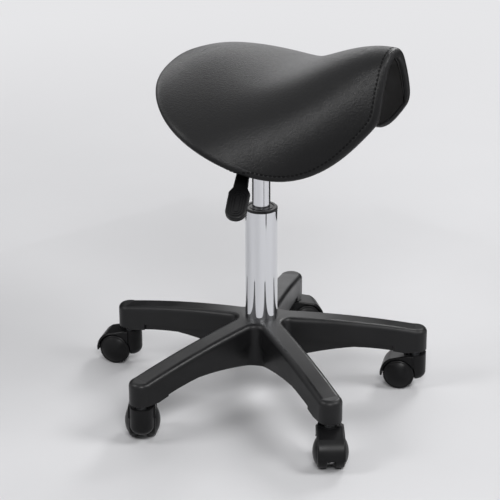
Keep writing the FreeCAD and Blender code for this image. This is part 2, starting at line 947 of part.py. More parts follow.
def seat_bolt(x, y):
    seat = plate_foot_height - washer_thickness
    tip = min(nut_seat(a, b) for a, b in bolt_places())
    head = cylinder(bolt_head_radius, seat - bolt_head_height, seat, x, y)
    head = head.makeFillet(bolt_head_height / 3, [head.Edges[2]])
    key = Part.makeBox(bolt_diameter / 2, bolt_diameter / 2, bolt_head_height / 2)
    key.translate(point(x - bolt_diameter / 4, y - bolt_diameter / 4, seat - bolt_head_height))
    return head.fuse(cylinder(bolt_radius, seat, tip, x, y)).removeSplitter().cut(key)


def seat_washer(x, y):
    foot = plate_foot_height - washer_thickness
    return ring(washer_radius, bolt_radius + hole_gap, foot, plate_foot_height, x, y)


# Casters, drawn trailing along +X about the stem's axis


def wheel(side):
    """Hollow wheel with a domed outer disc; its outline is (radius, distance out from the middle)."""
    inner = wheel_gap / 2
    outer = inner + wheel_width
    shoulder = outer - wheel_dome
    bore = axle_diameter / 2 + running_gap
    bore_end = outer - axle_cover
    edge = wheel_edge_radius
    round_share = math.sqrt(0.5) * edge
    web_in = shoulder - wheel_web
    tread_in = wheel_radius - wheel_tread_wall
    dome_radius = wheel_radius - edge
    sphere_radius = (dome_radius ** 2 + wheel_dome ** 2) / (2 * wheel_dome)
    half_turn = math.asin(dome_radius / sphere_radius) / 2
    dome_middle = sphere_radius * math.sin(half_turn)
    dome_middle_out = outer - sphere_radius * (1 - math.cos(half_turn))

    def at(radius, out):
        return point(radius, 0, out)

    edges = [
        line(at(bore, inner), at(wheel_hub_radius, inner)),
        line(at(wheel_hub_radius, inner), at(wheel_hub_radius, web_in)),
        line(at(wheel_hub_radius, web_in), at(tread_in, web_in)),
        line(at(tread_in, web_in), at(tread_in, inner)),
        line(at(tread_in, inner), at(wheel_radius - edge, inner)),
        arc(
            at(wheel_radius - edge, inner),
            at(wheel_radius - edge + round_share, inner + edge - round_share),
            at(wheel_radius, inner + edge),
        ),
        line(at(wheel_radius, inner + edge), at(wheel_radius, shoulder - edge)),
        arc(
            at(wheel_radius, shoulder - edge),
            at(wheel_radius - edge + round_share, shoulder - edge + round_share),
            at(dome_radius, shoulder),
        ),
        arc(at(dome_radius, shoulder), at(dome_middle, dome_middle_out), at(0, outer)),
        line(at(0, outer), at(0, bore_end)),
        line(at(0, bore_end), at(bore, bore_end)),
        line(at(bore, bore_end), at(bore, inner)),
    ]
    body = Part.Face(Part.Wire(edges)).revolve(point(0, 0, 0), point(0, 0, 1), 360)
    body.rotate(point(0, 0, 0), point(1, 0, 0), -90 * side)
    body.translate(point(caster_trail, 0, wheel_radius))
    return body


def hood():
    """Fender over the top and back of the wheels, web between them and round stem block."""
    axle = point(caster_trail, 0, wheel_radius)
    pocket_radius = wheel_radius + fender_gap
    outer_radius = pocket_radius + fender_wall
    half = fender_width / 2

    def around(radius, angle):
        turn = math.radians(angle)
        return axle + point(radius * math.cos(turn), 0, radius * math.sin(turn))

    end_angle = -math.degrees(math.asin(fender_end_below_axle / outer_radius))
    crest = around(outer_radius, fender_crest_angle)
    back = around(outer_radius, (fender_crest_angle + end_angle) / 2)
    peak = point(stem_block_radius / 2, 0, stem_block_top)
    fender = prism(
        [
            line(around(outer_radius, end_angle), around(0, 0)),
            line(around(0, 0), point(0, 0, wheel_radius)),
            line(point(0, 0, wheel_radius), point(0, 0, stem_block_top)),
            line(point(0, 0, stem_block_top), peak),
            line(peak, crest),
            arc(crest, back, around(outer_radius, end_angle)),
        ],
        point(0, fender_width, 0),
    )
    fender.translate(point(0, -half, 0))
    outside = [
        e for e in fender.Edges
        if abs(abs(e.CenterOfMass.y) - half) < running_gap
        and e.CenterOfMass.x > running_gap
        and min((v.Point - axle).Length for v in e.Vertexes) > half
    ]
    fender = fender.makeFillet(fender_edge_radius, outside)
    block = cylinder(stem_block_radius, stem_block_bottom, stem_block_top)
    foot = [e for e in block.Edges if abs(e.CenterOfMass.z - stem_block_bottom) < running_gap]
    block = block.makeFillet(stem_block_corner, foot)
    web_radius = axle_diameter
    web_half = wheel_gap / 2 - web_side_gap
    web = Part.makeCylinder(web_radius, 2 * web_half, axle + point(0, -web_half, 0), point(0, 1, 0))
    tie = box(0, caster_trail, -web_half, web_half, wheel_radius - web_radius, wheel_radius)
    pockets = [
        Part.makeCylinder(
            pocket_radius, wheel_width + half, axle + point(0, side * web_half, 0), point(0, side, 0)
        )
        for side in (-1, 1)
    ]
    shell = fender.cut(cylinder(stem_block_radius, 0, stem_block_top)).fuse(block)
    shell = shell.cut(pockets[0]).cut(pockets[1])
    shell = shell.fuse(web).fuse(tie).removeSplitter()
    shell = shell.cut(caster_axle(axle_diameter / 2))
    shell = shell.cut(cylinder(stem_block_radius - stem_cup_rim, cup_floor, stem_block_top))
    return shell.cut(cylinder(stem_foot_diameter / 2, cup_floor - stem_foot_length, cup_floor))


def caster_axle(radius):
    length = wheel_gap + 2 * (wheel_width - axle_cover - hole_gap)
    return Part.makeCylinder(
        radius, length, point(caster_trail, -length / 2, wheel_radius), point(0, 1, 0)
    )


def stem():
    body = cylinder(stem_foot_diameter / 2, cup_floor - stem_foot_length, cup_floor)
    body = body.fuse(cylinder(stem_flange_radius, cup_floor, flange_top))
    body = body.fuse(cylinder(stem_radius, flange_top, hub_bottom + stem_length))
    groove_top = hub_bottom + stem_length - grip_ring_below_top
    groove = ring(
        stem_radius + 1,
        stem_radius - 2 * running_gap,
        groove_top - grip_ring_height,
        groove_top,
    )
    return body.removeSplitter().cut(groove)


def save_casters():
    wheels = {"left": wheel(1), "right": wheel(-1)}
    pieces = {"hood": hood(), "stem": stem(), "axle": caster_axle(axle_diameter / 2)}
    for index, heading in enumerate(caster_headings):
        place = stem_place(index)
        name = "caster_" + str(index + 1)
        for piece, shape in pieces.items():
            save(name + "_" + piece, turned(shape, heading, *place))
        for side, shape in wheels.items():
            save(name + "_wheel_" + side, turned(shape, heading, *place))


def save_column():
    save("outer_tube", outer_tube())
    save("guide_bush", guide_bush())
    save("foot_plate", foot_plate())
    save("lower_race", race(bearing_foot))
    save("bearing_balls", *balls())
    save("ball_cage", ball_cage())
    save("upper_race", race(upper_race_foot))
    save("piston_rod", piston_rod())
    save("retaining_clip", retaining_clip())
    save("clip_washer", clip_washer())
    save("bump_stop", bump_stop())
    save("piston", piston())
    save("rod_guide", rod_guide())
    save("rod_seal", rod_seal())
    save("gas_cylinder", gas_cylinder())
    save("valve_body", valve_body())
    save("release_pin", release_pin())


def save_mechanism():
    save("taper_socket", taper_socket())
    save("mechanism_housing", mechanism_housing())
    save("mounting_plate", mounting_plate())
    save("lever_pivot_pin", turned(lever_cross_pin(lever_pin_diameter / 2), lever_turn))
    save("lever_arm", turned(lever_arm(), lever_turn))
    save("lever_paddle", turned(lever_paddle(), lever_turn))
    save("seat_bolts", *[seat_bolt(x, y) for x, y in bolt_places()])
    save("seat_washers", *[seat_washer(x, y) for x, y in bolt_places()])
    save("t_nuts", *[t_nut(x, y) for x, y in bolt_places()])


def save_seat():
    skin = seat_skin()
    save("seat_cover", skin.common(panel_zone(band_width + seat_gap / 2)))
    save("seat_edge_band", skin.cut(panel_zone(band_width - seat_gap / 2)))
    shell = seat_shell()
    foam = seat_foam()
    block = spacer_block()
    for x, y in bolt_places():
        room = nut_room(x, y)
        shell = shell.cut(room)
        foam = foam.cut(room)
        block = block.cut(room)
    save("seat_foam", foam)
    save("seat_shell", shell)
    save("under_cover", under_cover())
    save("spacer_block", block)


os.makedirs("parts", exist_ok=True)
save("star_base", star_base())
save("caster_grip_rings", *grip_rings())
save_column()
save_mechanism()
save_seat()
save_casters()
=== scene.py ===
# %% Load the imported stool
import json
import math

import bmesh
import bpy
import numpy as np
from mathutils import Matrix, Vector


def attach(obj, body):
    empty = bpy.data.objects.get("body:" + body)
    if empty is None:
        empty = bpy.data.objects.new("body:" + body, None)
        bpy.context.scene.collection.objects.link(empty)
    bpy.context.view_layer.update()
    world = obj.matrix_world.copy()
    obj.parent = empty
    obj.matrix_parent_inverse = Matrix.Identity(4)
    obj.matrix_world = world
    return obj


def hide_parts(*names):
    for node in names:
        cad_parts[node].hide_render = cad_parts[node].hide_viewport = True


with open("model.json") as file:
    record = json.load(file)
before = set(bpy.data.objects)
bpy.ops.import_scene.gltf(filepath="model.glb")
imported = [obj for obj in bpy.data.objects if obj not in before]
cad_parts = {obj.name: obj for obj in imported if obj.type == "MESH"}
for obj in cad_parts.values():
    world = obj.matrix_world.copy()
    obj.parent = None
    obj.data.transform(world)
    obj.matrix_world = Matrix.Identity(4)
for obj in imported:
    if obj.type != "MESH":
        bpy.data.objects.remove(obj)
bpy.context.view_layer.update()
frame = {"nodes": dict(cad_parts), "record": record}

MM = 0.001

# %% [markdown]
# A saddle stool has three groups of pieces: a hard base on casters, a chromed gas lift, and a padded seat.
# The hard pieces come from the CAD frame and only need finishes. The padded seat is modelled here.
# The camera comes first, so that each later step can be judged against the photograph: it stands about
# three metres away, near a standing person's eye height, and looks down at 22.6 degrees.
# A long lens gives the flat perspective that the five arms show.

# %% Camera
SENSOR = 36.0
FAR_CLIP = 100.0
FOCAL_PIXELS, FRAME_PIXELS = 2159.0, 500.0
CAMERA_PLACE = (-2.743, -1.378, 1.5195)
VIEW_TURN, VIEW_PITCH, VIEW_ROLL = 27.0, 22.56, -0.22

camera_data = bpy.data.cameras.new("camera")
camera_data.sensor_width = SENSOR
camera_data.lens = FOCAL_PIXELS / FRAME_PIXELS * SENSOR
camera_data.clip_end = FAR_CLIP
camera = bpy.data.objects.new("camera", camera_data)
bpy.context.scene.collection.objects.link(camera)
turn, pitch = math.radians(VIEW_TURN), math.radians(VIEW_PITCH)
look = Vector((math.cos(turn) * math.cos(pitch), math.sin(turn) * math.cos(pitch), -math.sin(pitch)))
camera.location = CAMERA_PLACE
aim = look.to_track_quat("-Z", "Y").to_matrix() @ Matrix.Rotation(math.radians(VIEW_ROLL), 3, "Z")
camera.rotation_euler = aim.to_euler()
bpy.context.scene.camera = camera
bpy.context.scene.view_settings.view_transform = "Standard"
print("lens", round(camera_data.lens, 1), "mm")

# %% [markdown]
# Materials need two small helpers: one turns an sRGB hex colour into the linear values that the shader
# works with, and one adds a node with its settings and links. With these, every finish below reads as a
# short list of what the eye sees: colour, gloss and relief.

# %% Helpers for finishes


def linear(hex_colour):
    """Linear colour for the shader from an sRGB hex value, by the standard sRGB curve."""
    channels = [int(hex_colour[i:i + 2], 16) / 255 for i in (1, 3, 5)]
    return tuple(c / 12.92 if c <= 0.04045 else ((c + 0.055) / 1.055) ** 2.4 for c in channels) + (1.0,)


def add(tree, kind, inputs=None, **settings):
    """A new node with its settings; an input is a plain value, or a socket that gets linked."""
    node = tree.nodes.new(kind)
    for name, value in settings.items():
        setattr(node, name, value)
    for socket, value in (inputs or {}).items():
        if isinstance(value, bpy.types.NodeSocket):
            tree.links.new(value, node.inputs[socket])
        else:
            node.inputs[socket].default_value = value
    return node


def finish(name, **sockets):
    """A new material with its own shader; sockets that are the same all over are set on the shader."""
    material = bpy.data.materials.new(name)
    material.use_nodes = True
    tree = material.node_tree
    shader = tree.nodes["Principled BSDF"]
    for socket, value in sockets.items():
        shader.inputs[socket.replace("_", " ")].default_value = value
    place = add(tree, "ShaderNodeTexCoord").outputs["Object"]
    return material, tree, shader, place


def per_metre(size_mm):
    """Texture scale at which one cell of a pattern is about this many millimetres wide."""
    return 1.0 / (size_mm * MM)


def deselect():
    """Leave nothing selected, because an operator acts on all that is."""
    for thing in bpy.context.selected_objects:
        thing.select_set(False)


print("mid grey in linear light:", round(linear("#808080")[0], 3))

# %% [markdown]
# The stage is a plain pale floor, wide enough that no horizon shows from the photograph's height.
# A floor lit evenly out to its edge would need far more lamps, and they would wash out the black pieces.
# Instead the world lights the stool only dimly, and is pale only where it is seen, directly or in a mirror.
# The floor keeps its real light and shadow round the stool, and fades to the same pale tone further out.

# %% Stage
FLOOR_SIZE = 40.0
FLOOR_LIT, FLOOR_FADED = 0.7, 2.2
MOTTLE_MM = 1000 / 3
BACKDROP, AMBIENT = linear("#E6E6E8"), 0.13


def backdrop_rays(tree):
    """1 for the rays that see the backdrop: from the camera, from a mirror or through glass."""
    rays = add(tree, "ShaderNodeLightPath").outputs
    direct = add(tree, "ShaderNodeMath", {
        0: rays["Is Camera Ray"], 1: rays["Is Glossy Ray"],
    }, operation="MAXIMUM")
    seen = add(tree, "ShaderNodeMath", {
        0: direct.outputs[0], 1: rays["Is Transmission Ray"],
    }, operation="MAXIMUM")
    return seen.outputs[0]


deselect()
bpy.ops.mesh.primitive_plane_add(size=FLOOR_SIZE, location=(0, 0, 0))
floor = bpy.context.object
floor.name = "floor"
# Matt backdrop paper: pale grey with a faint mottle and no gloss, so shadows stay soft.
paper, tree, shader, place = finish("pale_floor_paper", Roughness=0.75)
mottle = add(tree, "ShaderNodeTexNoise", {"Vector": place, "Scale": per_metre(MOTTLE_MM), "Detail": 4.0})
tone = add(tree, "ShaderNodeValToRGB", {"Fac": mottle.outputs["Fac"]})
dark, light = tone.color_ramp.elements
dark.color, light.color = linear("#CFCFD1"), linear("#D7D7D9")
tree.links.new(tone.outputs["Color"], shader.inputs["Base Color"])
away = add(tree, "ShaderNodeVectorMath", {0: place}, operation="LENGTH")
far = add(tree, "ShaderNodeMapRange", {
    "Value": away.outputs["Value"], "From Min": FLOOR_LIT, "From Max": FLOOR_FADED,
}, interpolation_type="SMOOTHSTEP")
fade = add(tree, "ShaderNodeMath", {
    0: far.outputs["Result"], 1: backdrop_rays(tree),
}, operation="MULTIPLY")
pale = add(tree, "ShaderNodeEmission", {"Color": BACKDROP})
join = add(tree, "ShaderNodeMixShader", {0: fade.outputs[0], 1: shader.outputs[0], 2: pale.outputs[0]})
tree.links.new(join.outputs[0], tree.nodes["Material Output"].inputs["Surface"])
floor.data.materials.append(paper)

world = bpy.data.worlds.new("studio")
bpy.context.scene.world = world
world.use_nodes = True
tree = world.node_tree
background = tree.nodes["Background"]
level = add(tree, "ShaderNodeMath", {0: backdrop_rays(tree), 1: AMBIENT}, operation="MAXIMUM")
background.inputs["Color"].default_value = BACKDROP
tree.links.new(level.outputs[0], background.inputs["Strength"])
print("floor", FLOOR_SIZE, "m wide, fades out between", FLOOR_LIT, "and", FLOOR_FADED, "m from the column")

# %% [markdown]
# The light is a soft studio: a large softbox overhead, a wide weak panel behind, which stands for a white
# wall, and four smaller softboxes, like windows: behind on the right, in front, and on both sides.
# One big lamp would be simpler, but black leatherette shows its form only by what it mirrors, and each
# window draws one of the soft highlights that the photograph shows on the crown, the flap and the arms.

# %% Softboxes
# Each row: metres ahead of the stool, to the right and up, height of the aim, width, height, watts.
SOFTBOXES = {
    "overhead": (0.3, 0.0, 3.2, 0.3, 3.0, 3.0, 10),
    "wall_panel": (2.6, -0.8, 1.6, 0.6, 4.2, 1.6, 22),
    "back_window": (2.0, 1.2, 1.9, 0.55, 0.8, 0.8, 26),
    "front_window": (-2.4, 0.2, 2.2, 0.5, 0.9, 0.9, 38),
    "right_window": (-0.75, 2.2, 2.4, 0.5, 1.1, 1.1, 44),
    "left_window": (-0.7, -2.2, 2.1, 0.5, 0.9, 0.9, 22),
}


def softbox(name, place, target, width, height, power):
    """A flat rectangular lamp that faces its target."""
    data = bpy.data.lights.new(name, "AREA")
    data.shape = "RECTANGLE"
    data.size, data.size_y = width, height
    data.energy = power
    lamp = bpy.data.objects.new(name, data)
    bpy.context.scene.collection.objects.link(lamp)
    lamp.location = place
    lamp.rotation_euler = (Vector(target) - Vector(place)).to_track_quat("-Z", "Y").to_euler()


ahead = Vector((math.cos(turn), math.sin(turn), 0))
right = Vector((math.sin(turn), -math.cos(turn), 0))
up = Vector((0, 0, 1))
for name, (forward, sideways, high, aim_height, width, height, power) in SOFTBOXES.items():
    lamp_place = forward * ahead + sideways * right + high * up
    softbox(name, lamp_place, (0, 0, aim_height), width, height, power)
print("softboxes:", len(SOFTBOXES), "with", sum(row[-1] for row in SOFTBOXES.values()), "W in all")

# %% [markdown]
# A chromed tube shows nothing but its surroundings, and over a pale floor it would turn white.
# Photographers stand black cards beside it: the mirror picks them up as dark edges and streaks, which is
# what makes plating look like plating. The cards show only in reflections.

# %% Black cards for the chrome
CARD_DISTANCE, CARD_HEIGHT = 0.75, 0.6
# Bearing in degrees, counted from the camera's side, and width in metres.
CARDS = ((-142, 0.85), (33, 0.09), (138, 0.75))
# Black card: matt and dark, seen only as the dark streaks in the plating.
card_black = finish("black_card", Base_Color=linear("#0A0A0A"), Roughness=0.9)[0]
for bearing, width in CARDS:
    toward = Matrix.Rotation(math.radians(bearing), 3, "Z") @ -ahead
    deselect()
    bpy.ops.mesh.primitive_plane_add(size=1)
    card = bpy.context.object
    card.name = "black_card"
    card.scale = (width, CARD_HEIGHT, 1)
    card.location = CARD_DISTANCE * toward + CARD_HEIGHT / 2 * up
    card.rotation_euler = toward.to_track_quat("Z", "Y").to_euler()
    card.visible_camera = card.visible_diffuse = card.visible_shadow = False
    card.data.materials.append(card_black)
print("cards:", len(CARDS))

# %% [markdown]
# The hard pieces get one finish per material of the record. Most of the stool is moulded nylon and
# polypropylene: black, satin, with the fine sand-like texture that a spark-eroded mould leaves.
# Real mould grain is about 0.2 mm, too fine for this view, so it is drawn at about 1.5 mm.

# %% Moulded plastics
PLASTIC_IOR = 1.5
CLOUD_MM = 60
TONE_LOW, TONE_HIGH = 0.35, 0.7
CLOUD_LOW, CLOUD_HIGH = 0.3, 0.7
GLOSS_DRIFT = 0.06
GRAIN_HEIGHT = 0.2 * MM


def moulded(name, colour, worn, roughness, grain_mm, relief, mirror=0.5):
    """Plastic with two close tones in slow clouds, a gloss that drifts with them, and a fine grain."""
    material, tree, shader, place = finish(name, IOR=PLASTIC_IOR, Specular_IOR_Level=mirror)
    cloud = add(tree, "ShaderNodeTexNoise", {"Vector": place, "Scale": per_metre(CLOUD_MM), "Detail": 3.0})
    tone = add(tree, "ShaderNodeValToRGB", {"Fac": cloud.outputs["Fac"]})
    dark, light = tone.color_ramp.elements
    dark.position, light.position = TONE_LOW, TONE_HIGH
    dark.color, light.color = linear(colour), linear(worn)
    tree.links.new(tone.outputs["Color"], shader.inputs["Base Color"])
    gloss = add(tree, "ShaderNodeMapRange", {
        "Value": cloud.outputs["Fac"], "From Min": CLOUD_LOW, "From Max": CLOUD_HIGH,
        "To Min": roughness - GLOSS_DRIFT, "To Max": roughness + GLOSS_DRIFT,
    })
    tree.links.new(gloss.outputs["Result"], shader.inputs["Roughness"])
    grain = add(tree, "ShaderNodeTexNoise", {"Vector": place, "Scale": per_metre(grain_mm), "Detail": 2.0})
    bump = add(tree, "ShaderNodeBump", {
        "Height": grain.outputs["Fac"], "Strength": relief, "Distance": GRAIN_HEIGHT,
    })
    tree.links.new(bump.outputs["Normal"], shader.inputs["Normal"])
    return material


# Each one has its name, colour, worn colour, roughness, grain in millimetres, relief and mirror level.
# Nylon with glass fibre, of the base: near black and satin, so the tops of the arms catch a soft grey.
base_nylon = moulded("glass_filled_nylon", "#121213", "#171718", 0.36, 1.5, 0.3, 0.26)
# Nylon of the casters: darker than the base nylon as painted shade, so that the wheels sink into their own
# shade, and a little glossier.
caster_nylon_painted_shade = moulded("caster_nylon_painted_shade", "#0C0C0D", "#111112", 0.34, 1.5, 0.2, 0.18)
# Polypropylene of the lever's grip: smooth and dark, with small glints along its ribs.
grip_plastic = moulded("black_polypropylene", "#0A0A0B", "#0F0F10", 0.33, 1.6, 0.15, 0.22)
# Acetal of the ball cage and rod guide: off-white and waxy.
white_acetal = moulded("white_acetal", "#DAD9D3", "#E4E3DE", 0.4, 1.2, 0.15)
# Rubber of the seal and bump stop: matt dark grey without a clear highlight.
seal_rubber = moulded("seal_rubber", "#161616", "#1D1D1D", 0.8, 1.4, 0.3)
# Cover under the seat: matt brown-black, kept near black as painted shade and tinted brown as a painted
# reflection, so that the arch reads as a dark hollow.
arch_painted_shade_and_reflection = moulded("under_cover_painted_shade_and_reflection", "#0B0908", "#110E0D", 0.55, 1.8, 0.2, 0.2)
PLASTICS = (base_nylon, caster_nylon_painted_shade, grip_plastic, white_acetal, seal_rubber, arch_painted_shade_and_reflection)
print("plastics:", ", ".join(plastic.name for plastic in PLASTICS))

# %% [markdown]
# Chrome plate is almost a mirror. What makes it look real is what it reflects, so the finish stays simple:
# a faintly cool metal, and a slow change of roughness where hands and cloths have wiped it.
# Zinc-plated steel and aluminium share the same build with their own colour and gloss. Powder-coated steel
# doesn't: the eye sees only the paint, so it is built as the plastics are.

# %% Metals
STREAK_SQUEEZE = 0.12
WIPED_LOW, WIPED_HIGH = 0.35, 0.75


def metal(name, colour, roughness, spread, streak_mm):
    """Bare metal whose gloss changes slowly in streaks along the column."""
    material, tree, shader, place = finish(name, Base_Color=linear(colour), Metallic=1.0)
    stretch = add(tree, "ShaderNodeMapping", {"Vector": place, "Scale": (1.0, 1.0, STREAK_SQUEEZE)})
    wiped = add(tree, "ShaderNodeTexNoise", {
        "Vector": stretch.outputs["Vector"], "Scale": per_metre(streak_mm), "Detail": 3.0,
    })
    gloss = add(tree, "ShaderNodeMapRange", {
        "Value": wiped.outputs["Fac"], "From Min": WIPED_LOW, "From Max": WIPED_HIGH,
        "To Min": roughness, "To Max": roughness + spread,
    })
    tree.links.new(gloss.outputs["Result"], shader.inputs["Roughness"])
    return material


# Each one has its name, colour, roughness, spread of the roughness and width of a streak in millimetres.
# Chrome plate of the column: a near mirror, faintly cool, with soft wiped streaks.
chrome = metal("chrome_plate", "#DCDDE0", 0.035, 0.05, 9.0)
# Zinc plate of bolts, pins and stems: pale grey with a blurred mirror image.
zinc_steel = metal("zinc_plated_steel", "#A9ABAD", 0.28, 0.12, 3.0)
# Turned aluminium of the piston and valve: whiter than zinc and a little sharper.
turned_aluminium = metal("turned_aluminium", "#C6C8CA", 0.25, 0.1, 3.0)
# Powder coat of the plate, housing and lever arm: satin black with a coarse orange-peel relief.
painted_steel = moulded("black_powder_coat", "#161617", "#1C1C1D", 0.42, 1.8, 0.5)
METALS = (chrome, zinc_steel, turned_aluminium, painted_steel)
print("metals:", ", ".join(surface.name for surface in METALS))

# %% [markdown]
# The plywood of the shell and of the spacer block is stained black, as it often is where an edge might show.
# It gets its grain all the same: long bands along the seat's length, drawn with a stretched noise.

# %% Plywood
BAND_MM, BAND_SQUEEZE = 5, 0.06
# Stained plywood: matt and nearly black, with a warm brown left in the grain.
plywood, tree, shader, place = finish("black_stained_plywood", Roughness=0.7)
along = add(tree, "ShaderNodeMapping", {"Vector": place, "Scale": (1.0, BAND_SQUEEZE, 1.0)})
bands = add(tree, "ShaderNodeTexNoise", {
    "Vector": along.outputs["Vector"], "Scale": per_metre(BAND_MM), "Detail": 5.0,
})
tone = add(tree, "ShaderNodeValToRGB", {"Fac": bands.outputs["Fac"]})
dark, light = tone.color_ramp.elements
dark.color, light.color = linear("#1A1410"), linear("#2A211A")
tree.links.new(tone.outputs["Color"], shader.inputs["Base Color"])
print("plywood bands", BAND_MM, "mm wide and about", round(BAND_MM / BAND_SQUEEZE), "mm long")

# %% [markdown]
# Every hard piece of the stool is already a mesh in the frame, with the name of its material in the record.
# It could be painted by hand, but a table from that name to a finish does all of them at once and forgets
# none. Two kinds of piece get a darker copy of their material as painted shade: the casters, and the cover
# in the arch, whose brown tint is also a painted reflection.
# The soft pieces of the seat are not in the table, because the padded seat further down stands for them.

# %% Give every CAD node its finish
FINISH_OF_SLOT = {
    "black_nylon": base_nylon,
    "black_polypropylene": grip_plastic,
    "white_acetal": white_acetal,
    "seal_rubber": seal_rubber,
    "chrome": chrome,
    "bright_steel": zinc_steel,
    "turned_aluminium": turned_aluminium,
    "black_steel": painted_steel,
    "plywood": plywood,
}
for subpart in frame["record"]["subparts"]:
    node = frame["nodes"][subpart["node"]]
    chosen = FINISH_OF_SLOT.get(subpart["material_slot"])
    # The casters take the darker copy of the nylon, whose darkness is painted shade.
    if subpart["node"].startswith("caster_") and chosen is base_nylon:
        chosen = caster_nylon_painted_shade
    # The cover in the arch takes its own brown-black copy: painted shade with a painted brown reflection.
    if subpart["node"] == "under_cover":
        chosen = arch_painted_shade_and_reflection
    if chosen:
        node.data.materials.clear()
        node.data.materials.append(chosen)
print("finishes:", len(bpy.data.materials))

# %% [markdown]
# The saddle is leatherette drawn over foam on a moulded plywood shell. Its form is a set of sections
# across the seat: each one is a gentle arc over the crown that turns into a tighter arc down the flap.
# The five values per curve run from the rear edge to the front edge, in millimetres and degrees, and they
# are the ones that the solid was drawn from, so the padded piece fits its space without any adjusting.

# %% Form of the saddle
# Lengths are in millimetres here and in the next two code cells.
SEAT_REAR, SEAT_FRONT, REAR_FLAT = 142.0, 216.0, 2.0
CROWN_HEIGHTS = (538.0, 554.0, 547.0, 578.0, 596.0)
CROWN_SLOPES = (4.0, 11.0, 10.5, 35.0, 58.0)
RIM_SLOPES = (5.5, 31.0, 57.0, 92.0, 80.0)
CROWN_SHARE = 0.35
WIDEST, WIDEST_AT, FRONT_GIRTH = 236.0, 85.0, 122.0
REAR_ROUND, REAR_FULL = 2.8, 1.7
FRONT_ROUND, FRONT_FULL = 2.65, 0.86
LEAST_GIRTH = 1.0
FOAM_MIDDLE, FOAM_EDGE = 22.0, 4.0
COVER, GAP, SHELL = 1.2, 0.4, 7.0
FOAM_UNDER = COVER + GAP + FOAM_EDGE
LIP_TOP = FOAM_UNDER + GAP + SHELL + GAP
EDGE_THICKNESS = LIP_TOP + COVER
LIP_WIDTH = 7.0
# Six times the end slope of a cubic through four points that are one step apart.
END_WEIGHTS = np.array([-11.0, 18.0, -9.0, 2.0])


def faired(values):
    """Smooth curve through five even stations, with its end slopes taken from the nearest four."""
    y = np.array(values)
    step = 1.0 / (len(y) - 1)
    slopes = np.zeros(len(y))
    ends = END_WEIGHTS / (6 * step)
    slopes[0] = ends @ y[:4]
    slopes[-1] = -ends @ y[::-1][:4]
    rise = 3 * (y[2:] - y[:-2]) / step
    rise[0] -= slopes[0]
    rise[-1] -= slopes[-1]
    inner = len(y) - 2
    system = 4 * np.eye(inner) + np.eye(inner, k=1) + np.eye(inner, k=-1)
    slopes[1:-1] = np.linalg.solve(system, rise)

    def at(share):
        index = np.clip((share / step).astype(int), 0, len(y) - 2)
        t = share / step - index
        a, b = y[index], y[index + 1]
        m, n = slopes[index] * step, slopes[index + 1] * step
        return a + m * t + (3 * (b - a) - 2 * m - n) * t ** 2 + (2 * (a - b) + m + n) * t ** 3

    return at


crown_height_at = faired(CROWN_HEIGHTS)
crown_slope_at = faired(CROWN_SLOPES)
rim_slope_at = faired(RIM_SLOPES)


def half_girth(ahead):
    """Length of the leatherette from the ridge down to the rim, at places ahead of the column."""
    rear = np.clip((WIDEST_AT - ahead) / (WIDEST_AT + SEAT_REAR), 0, 1)
    front = np.clip((ahead - WIDEST_AT) / (SEAT_FRONT - WIDEST_AT), 0, 1)
    rear_girth = WIDEST * (1 - rear ** REAR_ROUND) ** (1 / REAR_FULL)
    front_shape = (1 - front ** FRONT_ROUND) ** (1 / FRONT_FULL)
    front_girth = FRONT_GIRTH + (WIDEST - FRONT_GIRTH) * front_shape
    return np.where(ahead < WIDEST_AT, rear_girth, front_girth)


def run(length, slope_in, slope_out):
    """Sideways and downward run of an arc that turns from one slope to the other."""
    half_turn = (slope_out - slope_in) / 2
    chord = length * np.sinc(half_turn / np.pi)
    mean = (slope_in + slope_out) / 2
    return chord * np.cos(mean), chord * np.sin(mean)


def on_seat(ahead, along, depth):
    """Places in metres at lengths ahead of the column, along the section, and under the skin."""
    share = (ahead + SEAT_REAR) / (SEAT_REAR + SEAT_FRONT)
    girth = np.maximum(half_girth(ahead), LEAST_GIRTH)
    split = CROWN_SHARE * girth
    crown, rim = np.radians(crown_slope_at(share)), np.radians(rim_slope_at(share))
    length = np.abs(along)
    over, down = np.minimum(length, split), np.maximum(length - split, 0)
    slope = crown * over / split
    slope = slope + (rim - crown) * down / (girth - split)
    across, drop = run(over, 0, crown * over / split)
    more_across, more_drop = run(down, crown, slope)
    x = np.sign(along) * (across + more_across - depth * np.sin(slope))
    z = crown_height_at(share) - drop - more_drop - depth * np.cos(slope)
    return np.stack([x, -ahead, z], -1) * MM


print("saddle", SEAT_REAR + SEAT_FRONT, "mm long, rim", round(EDGE_THICKNESS, 1), "mm thick")

# %% [markdown]
# The leatherette is cut to one outline, so the outline is laid out flat first: the front edge, a flap, the
# rear edge and the other flap, walked round at even steps and softened a little at the corners.
# Loops at growing distances inside it then give a mesh whose edges run along the seam and the rolled rim,
# which a plain grid could never do.

# %% Outline of the leatherette
COLUMNS = 420
FLANK_STEPS = 800
CORNER_SOFTNESS = 12.0


def walked(points, count):
    """The same closed line with its points at even steps."""
    closed = np.vstack([points, points[:1]])
    lengths = np.r_[0, np.cumsum(np.linalg.norm(np.diff(closed, axis=0), axis=1))]
    steps = np.linspace(0, lengths[-1], count, endpoint=False)
    return np.stack([np.interp(steps, lengths, closed[:, k]) for k in (0, 1)], -1), lengths[-1]


